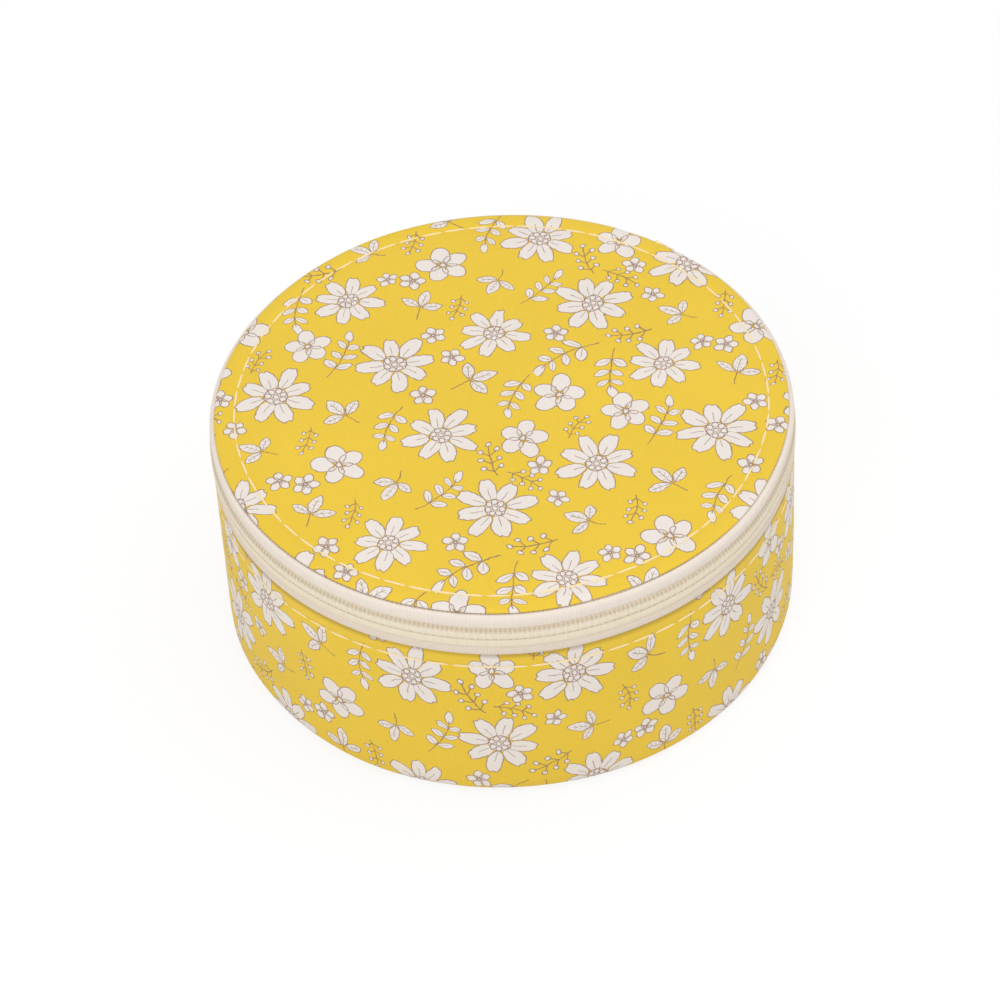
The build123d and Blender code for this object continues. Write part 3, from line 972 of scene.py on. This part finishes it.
# %% Make the hinge
fold = [(59.92, 42.2 + 0.45 * k) for k in range(16)]
inner_fold = [(59.37, z) for _, z in reversed(fold)]
hinge_strip = turned(
    [(59.2, 33.8), (59.2, 40.3), (59.4, 40.9), (59.7, 41.5)] + fold
    + [(59.86, 49.5), (59.66, 50.2), (59.2, 50.8), (58.6, 51.14), (58.0, 51.2), (52.7, 51.2),
       (52.7, 50.65), (57.9, 50.65), (58.5, 50.5), (59.0, 50.1), (59.25, 49.5)]
    + inner_fold + [(59.15, 41.7), (58.85, 41.1), (58.66, 40.4), (58.66, 33.8)],
    "hinge_strip", HINGE_CLOTH, None, "zip_tape", ["hinge_cloth"],
    lean=-1, start=90 - HINGE_HALF, arc=2 * HINGE_HALF, steps=54,
)
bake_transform(hinge_strip)

# %% [markdown]
# ## The chain
# A nylon zip is two coils of stiff filament, sewn along the edges of the tapes, whose turns
# lock between each other. Each turn here is a squashed ring of filament, leaning a little
# like the turn of a spring, and copied round by spin at the chain's own pitch. A rolled
# edge of cloth covers each row, and on the upper one the thread that sews it down shows
# between every two turns.

# %% Wind one turn of the coil
CHAIN_LEVEL = 45.2
ROUND_COUNT = 251
STEP = TURN / ROUND_COUNT
SLIDER_ANGLE = math.radians(-34)
SLIDER_HALF = 2.6
coil_start = math.radians(90 + HINGE_HALF) + 0.8 / WALL
coil_end = math.radians(450) + SLIDER_ANGLE + SLIDER_HALF / WALL
turns = int((coil_end - coil_start) / STEP)


def one_turn(side):
    """One turn of filament: a ring, squashed upright and leaning. side is 1 on the lid, -1 below."""
    bm = bmesh.new()
    bmesh.ops.create_circle(bm, cap_ends=False, segments=6, radius=0.33)
    shift(bm, 1.0, 0, 0)
    rotate(bm, math.pi / 2, "X")
    spin(bm, bm.verts[:] + bm.edges[:], TURN, 12, use_merge=True, use_duplicate=False)
    close_up(bm)
    rotate(bm, math.pi / 2, "X")
    scale(bm, 0.46 / 1.33, 1.0, 1.35 / 1.33)
    rotate(bm, side * 0.12, "X")
    return bm


print("turns in each row:", turns - 1)

# %% Make the two rows, their covers and the sewing
ROLLED_EDGE = [
    (59.42, 0.04), (59.56, 0.1), (59.7, 0.34), (59.76, 0.8), (59.76, 1.3), (59.7, 1.75),
    (59.56, 2.1), (59.32, 2.42), (59.12, 2.7), (58.96, 2.7), (58.98, 2.4), (59.34, 2.0),
    (59.48, 1.5), (59.48, 0.8), (59.4, 0.3),
]
ROLL_LEVEL = CHAIN_LEVEL - 0.12


def lay_round(bm, radius, height, angle, count):
    """Place one turn or stitch beside the chain and copy it along the whole row."""
    shift(bm, radius, 0, height)
    rotate(bm, angle, "Z")
    copies_round(bm, count, STEP)
    unsettle(bm)


for name, side, body in (("upper", 1, "lid"), ("lower", -1, "base")):
    middle = CHAIN_LEVEL + side * 0.9
    first_turn = coil_start + STEP * (0.5 if side > 0 else 1.0)
    bm = one_turn(side)
    lay_round(bm, 59.16, middle, first_turn, turns - 1)
    hand_over(bm, name + "_row", NYLON, body, [name + "_coil"], cusp=40)
    turned(
        [(r, ROLL_LEVEL + side * z) for r, z in ROLLED_EDGE],
        name + "_row_cover", COIL_COVER, body, "zip_coil", sway=SWAY, lean=0,
        start=math.degrees(coil_start), arc=math.degrees(STEP * turns), steps=300,
    )
    if side > 0:
        bm = bmesh.new()
        bmesh.ops.create_uvsphere(bm, u_segments=6, v_segments=5, radius=1.0)
        scale(bm, 0.2, 0.24, 0.85)
        lay_round(bm, 59.63, middle + 0.1, first_turn + STEP * 0.5, turns - 2)
        hand_over(bm, name + "_row_sewing", COIL_THREAD, body, cusp=40)

# %% [markdown]
# ## The slider and its pull
# Both are stamped from sheet metal, and stamping leaves edges that are a little round. A flat
# curve does the same: it is filled, given a thickness, and its own bevel rounds the edges,
# also those of the holes. The pieces are stood against the back of the box, x running along
# the zip and y out from it, and then turned together to where the slider is parked.


# %% Helpers for stamped metal
PARKED = Matrix.Rotation(SLIDER_ANGLE, 4, "Z")
UPRIGHT = Matrix.Rotation(math.pi / 2, 4, "X")


def at(x, y, z=CHAIN_LEVEL):
    """A place beside the chain, as a matrix."""
    return Matrix.Translation((x, y, z))


def softened(points, cuts, steps=6):
    """An outline whose corners are rounded off, each by its own cut or all by one."""
    soft = []
    points = [Vector(point) for point in points]
    cuts = cuts if isinstance(cuts, list) else [cuts] * len(points)
    for k, (corner, cut) in enumerate(zip(points, cuts)):
        before, after = points[k - 1], points[(k + 1) % len(points)]
        start = corner + (before - corner).normalized() * cut
        end = corner + (after - corner).normalized() * cut
        for n in range(steps + 1):
            t = n / steps
            soft.append(start * (1 - t) ** 2 + corner * 2 * t * (1 - t) + end * t**2)
    return soft


def ring(x, y, long, wide, steps=28):
    """An oval outline."""
    angles = [TURN * k / steps for k in range(steps)]
    return [(x + long * math.cos(a), y + wide * math.sin(a)) for a in angles]


def box(low_x, low_y, high_x, high_y):
    """An oblong outline."""
    return [(low_x, low_y), (high_x, low_y), (high_x, high_y), (low_x, high_y)]


def stamp(bm, loops, thick, ease, place):
    """Add a plate with rounded edges, cut to outlines of which the later ones are holes."""
    curve = bpy.data.curves.new("stamp", "CURVE")
    curve.dimensions = "2D"
    curve.fill_mode = "BOTH"
    curve.extrude = thick / 2 - ease
    curve.bevel_depth = ease
    curve.bevel_resolution = 2
    curve.offset = -ease
    for loop in loops:
        line = curve.splines.new("POLY")
        line.points.add(len(loop) - 1)
        for point, (x, y) in zip(line.points, loop):
            point.co = (x, y, 0, 1)
        line.use_cyclic_u = True
    holder = bpy.data.objects.new("stamp", curve)
    bpy.context.scene.collection.objects.link(holder)
    depsgraph = bpy.context.evaluated_depsgraph_get()
    mesh = bpy.data.meshes.new_from_object(holder.evaluated_get(depsgraph))
    mesh.transform(PARKED @ place)
    bm.from_mesh(mesh)
    bpy.data.objects.remove(holder)
    bpy.data.curves.remove(curve)
    bpy.data.meshes.remove(mesh)
    bmesh.ops.remove_doubles(bm, verts=bm.verts[:], dist=1e-4)


print("press ready")

# %% Stamp the slider, its bridge and the pull
shield = softened([(6, -3.1), (6, 3.1), (-2.7, 3.5), (-6, 2.17), (-6, -2.17), (-2.7, -3.5)], 0.95)
bm = bmesh.new()
stamp(bm, [shield], 1.1, 0.25, at(0, 57.09) @ UPRIGHT)
stamp(bm, [shield], 1.1, 0.38, at(0, 60.85) @ UPRIGHT)
stamp(bm, [ring(-4.2, 0, 1.3, 0.9)], 2.8, 0.05, at(0, 58.97) @ UPRIGHT)
for side in (1, -1):
    flange = softened(box(-2.6, 2.8 * side - 0.3, 5.5, 2.8 * side + 0.3), 0.25)
    stamp(bm, [flange], 0.8, 0.1, at(0, 60.05) @ UPRIGHT)
hand_over(bm, "slider_shell", BRASS, "slider", ["slider_body"], cusp=50)

arch = [
    (-2.5, 60.8), (-2.5, 63.2), (-1.7, 64.09), (1.7, 64.09), (2.5, 63.2), (2.5, 60.8),
    (1.65, 60.8), (1.65, 62.86), (1.25, 63.26), (-1.25, 63.26), (-1.65, 62.86), (-1.65, 60.8),
]
bm = bmesh.new()
cuts = [0.25, 0.5, 0.5, 0.5, 0.5, 0.25, 0.25, 0.22, 0.22, 0.22, 0.22, 0.25]
stamp(bm, [softened(arch, cuts, 4)], 1.1, 0.18, at(0, 0))
hand_over(bm, "slider_arch", BRASS, "slider", ["slider_bridge"], cusp=50)

tab = [
    (-0.42, -2.3), (3.4, -2.3), (5.3, -1.9), (15, -1.9),
    (15, 1.9), (5.3, 1.9), (3.4, 2.3), (-0.42, 2.3),
]
edge = softened(tab, [0.6, 0.5, 0.5, 1.88, 1.88, 0.5, 0.5, 0.6], 9)
eye = softened(box(0.42, -1.6, 3.52, 1.6), 0.45)
bm = bmesh.new()
droop = Matrix.Rotation(math.radians(14), 4, "Y")
stamp(bm, [edge, eye, ring(13.1, 0, 0.8, 0.8)], 0.85, 0.26, at(0, 62.531) @ droop @ UPRIGHT)
hand_over(bm, "pull", BRASS, "pull", ["pull_tab"], cusp=50)

# %% [markdown]
# ## The lining and what it wraps
# Inside, brushed cream cloth covers the card wall, the floor and the lid. Turned over the
# top of the card it makes a soft round lip. The foam, wadding and pads that it covers are
# hidden when the box is whole, and are still made, because the parts can be taken apart.

# %% Line the wall and the floor
turned([
    (58.55, 40.86), (58.5, 41.2), (58.3, 41.4), (57.2, 41.46), (56.45, 41.36), (56.05, 41.05),
    (55.95, 40.5), (55.95, 30), (55.95, 20), (55.95, 10), (55.95, 3.02), (56.42, 3.02),
    (56.42, 20), (56.42, 40.6), (56.62, 40.9), (58.3, 40.92),
], "wall_cloth", LINING_STRIP, "base", "lining_cloth", ["wall_lining"],
    sway=SWAY, lean=0, radius=56.0, steps=200)

turned([
    (0, 5.62), (20, 5.62), (40, 5.62), (52, 5.62), (54.6, 5.6), (55.4, 5.45), (55.62, 5.2),
    (55.4, 5.1), (40, 5.1), (0, 5.1),
], "floor_cloth", LINING_FLAT, "base", "lining_cloth", ["floor_lining"], steps=160)

# %% Fill the floor, the side and the lid
floor_foam = turned([
    (0, 4.98), (54.0, 4.98), (55.6, 4.5), (55.6, 3.3), (55.0, 3.04), (0, 3.04),
], "floor_foam", WADDING, "base", "wadding", ["floor_pad"], cusp=40, steps=120, ease=0.3)

side_wad = turned([
    (58.66, 2.4), (59.3, 2.3), (59.52, 3.0), (59.52, 32.6), (59.3, 33.3), (58.66, 33.3),
], "side_wad", WADDING, "base", "wadding", ["side_wadding"], cusp=40, steps=160, ease=0.2)

lid_foam = turned([
    (0, 51.5), (50.5, 51.5), (51.6, 51.2), (52.4, 50.62), (57.9, 50.54), (58.45, 50.3),
    (58.5, 50.0), (58.3, 49.87), (0, 49.87),
], "lid_foam", WADDING, "lid", "wadding", ["lid_pad"], cusp=40, steps=160)

# %% Line the lid and wrap the ring of the mirror
turned([
    (0, 47.64), (30, 47.64), (54.8, 47.64), (55.75, 47.8), (56.2, 48.3), (56.24, 49.0),
    (56.24, 49.74), (55.76, 49.74), (55.76, 48.7), (55.4, 48.2), (54.6, 48.14), (0, 48.14),
], "lid_inner_cloth", LINING_FLAT, "lid", "lining_cloth", ["lid_lining"], steps=200)

turned([
    (41.36, 47.54), (41.36, 45.72), (40.6, 45.66), (39.7, 45.56), (39.56, 45.32), (39.8, 45.08),
    (41.0, 44.94), (43.2, 44.86), (45.4, 44.98), (46.6, 45.4), (47.04, 46.1), (47.04, 47.0),
    (46.8, 47.54),
], "mirror_ring", LINING_FLAT, "lid", "lining_cloth", ["mirror_frame"], steps=200)

# %% [markdown]
# ## Dividers
# Two lined walls part the front of the box. Each is card between two faces of cloth, sewn
# along the top, so it is a little fuller in the middle and round at its upper edge. A cube
# is cut into strips, rounded with the bevel operator, and its sides are pushed out softly.


# %% Make the dividers
def lined_wall(name, centre, size, node):
    """A cloth-covered wall, as long as it is along x or y."""
    bm = bmesh.new()
    bmesh.ops.create_cube(bm, size=1.0)
    scale(bm, *size)
    top = [e for e in bm.edges if min(v.co.z for v in e.verts) > 0]
    bmesh.ops.bevel(bm, geom=top, offset=1.35, segments=4, profile=0.5, affect="EDGES", material=-1)
    long_way = 0 if size[0] > size[1] else 1
    for way, least, cuts in ((long_way, 0.9 * (size[long_way] - 3), 44), (2, 0.8 * size[2], 10)):
        edges = [e for e in bm.edges if abs(e.verts[0].co[way] - e.verts[1].co[way]) > least]
        bmesh.ops.subdivide_edges(bm, edges=edges, cuts=cuts, use_grid_fill=True)
    shift(bm, *centre)
    unsettle(bm, 0.5, 9, seed=2.0, upright=0.3)
    hand_over(bm, name, LINING_FLAT, "base", [node])


lined_wall("long_wall", (0, 1.6, 20.65), (110.9, 2.9, 29.8), "divider_long")
lined_wall("short_wall", (-6.0, -27.55, 20.65), (2.9, 54.9, 29.8), "divider_short")

# %% [markdown]
# ## Ring rolls
# Four padded rolls lie side by side, and rings are pushed down between them. A roll is foam
# in a tight cover, so it is crowned along its top and drawn in at its foot. Such a shape is
# best left to the cloth solver: a slightly thin roll is given an even skin of small squares
# and blown up a little, and the cover finds its own soft wrinkles. How far a point may move
# is then capped, so that no roll swells into the next.


# %% Blow up a padded piece
SMALL = 0.1
VOXEL = 1.1
PRESSURE = 5.0
MOST_SWELL = 0.75
FRAMES = 20


def smoothed(bm):
    """Ease every point half of the way to the middle of its neighbours."""
    bmesh.ops.smooth_vert(
        bm, verts=bm.verts[:], factor=0.5, use_axis_x=True, use_axis_y=True, use_axis_z=True,
    )


def evaluated(piece):
    """A piece with its modifiers worked out."""
    return piece.evaluated_get(bpy.context.evaluated_depsgraph_get())


def filled_by_cloth(skin):
    """Let the cloth solver press on a skin from inside. Gives the points that it ends with."""
    cloth = skin.modifiers.new("filling", "CLOTH")
    cloth.settings.use_pressure = True
    cloth.settings.uniform_pressure_force = PRESSURE
    cloth.settings.quality = 6
    cloth.settings.mass = 0.3
    cloth.settings.tension_stiffness = 20
    cloth.settings.compression_stiffness = 20
    cloth.settings.shear_stiffness = 8
    cloth.settings.bending_stiffness = 0.4
    cloth.settings.effector_weights.gravity = 0
    cloth.point_cache.frame_end = FRAMES
    for number in range(1, FRAMES + 1):
        bpy.context.scene.frame_set(number)
    blown = evaluated(skin)
    points = [v.co.copy() for v in blown.to_mesh().vertices]
    blown.to_mesh_clear()
    skin.modifiers.clear()
    bpy.context.scene.frame_set(1)
    return points


def plump(bm):
    """Fill a closed mesh. The solver works ten times smaller than millimetres."""
    scale(bm, SMALL, SMALL, SMALL)
    mesh = bpy.data.meshes.new("skin")
    bm.to_mesh(mesh)
    bm.free()
    skin = bpy.data.objects.new("skin", mesh)
    bpy.context.scene.collection.objects.link(skin)
    remesh = skin.modifiers.new("even squares", "REMESH")
    remesh.mode = "VOXEL"
    remesh.voxel_size = VOXEL * SMALL
    even = bpy.data.meshes.new_from_object(evaluated(skin))
    skin.modifiers.clear()
    soft = bmesh.new()
    soft.from_mesh(even)
    for _ in range(5):
        smoothed(soft)
    soft.to_mesh(even)
    soft.free()
    skin.data = even
    moved = filled_by_cloth(skin)
    pushes = [now - vert.co for vert, now in zip(even.vertices, moved)]
    for vert, push in zip(even.vertices, pushes):
        vert.co += push * min(1.0, MOST_SWELL * SMALL / max(push.length, 1e-9))
    print("a roll swelled by at most", round(max(p.length for p in pushes) / SMALL, 2), "mm")
    full = bmesh.new()
    full.from_mesh(even)
    bpy.data.objects.remove(skin)
    scale(full, 1 / SMALL, 1 / SMALL, 1 / SMALL)
    smoothed(full)
    return full


print("filling ready")

# %% Make the four rolls
ROLL_WIDTH = 12.7625
ROLL_PITCH = ROLL_WIDTH + 0.3
ROLL_FIRST = 3.4
ROLL_REACH = 54.75
LOW, HIGH = 5.75, 23.5
HALF_ROUND = [
    (0.25, 0, 0.7), (0.45, 0, 1.3), (0.66, 0, 2.2), (0.74, 0, 2.9), (0.84, 2.0, 3.9), (0.93, 4.0, 5.2),
    (1.0, 7.5, 9.0),
]


def ring_roll(number):
    """One roll: a drawn-in, crowned section, cut off by the round of the wall."""
    place = ROLL_FIRST + ROLL_WIDTH / 2 + number * ROLL_PITCH
    half = ROLL_WIDTH / 2 - MOST_SWELL
    other_half = [(-share, rise, drop) for share, rise, drop in reversed(HALF_ROUND)]
    rows = other_half + [(0, 0, 0.6)] + HALF_ROUND
    bm = bmesh.new()
    loops = []
    for share, rise, drop in rows:
        y = place + share * half
        x = math.sqrt(ROLL_REACH**2 - y**2)
        corners = [(-x, y, LOW + rise), (x, y, LOW + rise), (x, y, HIGH - drop), (-x, y, HIGH - drop)]
        loops.append([bm.verts.new(c) for c in corners])
    for before, after in zip(loops, loops[1:]):
        for k in range(4):
            bm.faces.new((before[k - 1], before[k], after[k], after[k - 1]))
    bm.faces.new(loops[0])
    bm.faces.new(loops[-1])
    bmesh.ops.recalc_face_normals(bm, faces=bm.faces[:])
    bm = plump(bm)
    for vert in bm.verts:
        vert.co.z = max(vert.co.z, LOW - 0.03)
    name = "roll_" + str(number + 1)
    roll = hand_over(bm, name, LINING_FLAT, "base", ["ring_" + name], cusp=80)


for number in range(4):
    ring_roll(number)

# %% [markdown]
# ## The studio
# The photograph has an even white ground and hardly any shadow. Broad soft lamps in front,
# above and at both sides, with a pale world around, give that. The floor is painted so that
# the camera sees it white, while it still catches the soft shadow of the box.

# %% Floor and world
scene = bpy.context.scene
scene.view_settings.view_transform = "Standard"


def seen_rays(tree):
    """1 for rays from the camera, or mirrored or let through on the way, otherwise 0."""
    path = tree.nodes.new("ShaderNodeLightPath").outputs
    names = ("Is Camera Ray", "Is Glossy Ray", "Is Transmission Ray")
    return larger(*[Field(tree, path[name]) for name in names])


floor_paint, tree, shader = new_material("studio floor")
all_over(shader, Base_Color=(0.8, 0.8, 0.8, 1), Roughness=0.9, Specular_IOR_Level=0.1)
glow = tree.nodes.new("ShaderNodeEmission")
glow.inputs["Color"].default_value = (1, 1, 1, 1)
glow.inputs["Strength"].default_value = 1.09
mix = tree.nodes.new("ShaderNodeMixShader")
output = next(n for n in tree.nodes if n.type == "OUTPUT_MATERIAL")
join(tree, seen_rays(tree) * 0.75, mix.inputs[0])
join(tree, shader.outputs[0], mix.inputs[1])
join(tree, glow.outputs[0], mix.inputs[2])
join(tree, mix.outputs[0], output.inputs["Surface"])
bm = bmesh.new()
bmesh.ops.create_grid(bm, x_segments=8, y_segments=8, size=3000.0)
shift(bm, 0, 0, -0.05)
studio_floor = to_object(bm, "studio_floor", floor_paint)

world = bpy.data.worlds.new("studio air")
scene.world = world
world.use_nodes = True
tree = world.node_tree
air = next(n for n in tree.nodes if n.type == "BACKGROUND")
air.inputs["Color"].default_value = (1, 1, 1, 1)
join(tree, seen_rays(tree) * 0.43 + 0.57, air.inputs["Strength"])
print("floor and world ready")


# %% Lamps
def soft_light(name, place, aim, size, power):
    """A square lamp that faces a point."""
    lamp = bpy.data.lights.new(name, "AREA")
    lamp.size = size
    lamp.energy = power
    holder = bpy.data.objects.new(name, lamp)
    scene.collection.objects.link(holder)
    holder.location = place
    holder.rotation_euler = (Vector(aim) - Vector(place)).to_track_quat("-Z", "Y").to_euler()


soft_light("front_light", (-0.35, -0.9, 0.75), (0, 0, 0.03), 0.7, 4.2)
soft_light("top_light", (0.25, 0.15, 1.0), (0, 0, 0.03), 0.8, 3.0)
soft_light("right_light", (0.9, -0.25, 0.22), (0, 0, 0.02), 0.6, 0.9)
soft_light("left_light", (-0.9, -0.25, 0.22), (0, 0, 0.02), 0.6, 0.4)
print("lamps ready")

# %% [markdown]
# ## The camera
# A long lens from 45 degrees above, straight in front, a touch out of level. The numbers
# come from matching the ellipses of the lid and base to the photograph.

# %% Place the camera
RAISED = math.radians(45.08)
TILTED = math.radians(3.245)
FAR = 0.70988
AIM = Vector((0, 0, 0.026))
back = Vector((0, -math.cos(RAISED), math.sin(RAISED)))
right = Vector((1, 0, 0))
up = back.cross(right)
tilted_right = right * math.cos(TILTED) - up * math.sin(TILTED)
tilted_up = up * math.cos(TILTED) + right * math.sin(TILTED)
lens = bpy.data.cameras.new("camera")
lens.lens = 122.4
lens.sensor_width = 36.0
lens.shift_x = -0.00592
lens.shift_y = -0.00984
lens.clip_start = 0.01
camera = bpy.data.objects.new("camera", lens)
scene.collection.objects.link(camera)
turn = Matrix((tilted_right, tilted_up, back)).transposed().to_4x4()
camera.matrix_world = Matrix.Translation(AIM + back * FAR) @ turn
scene.camera = camera
print("camera at", [round(c, 4) for c in camera.location])
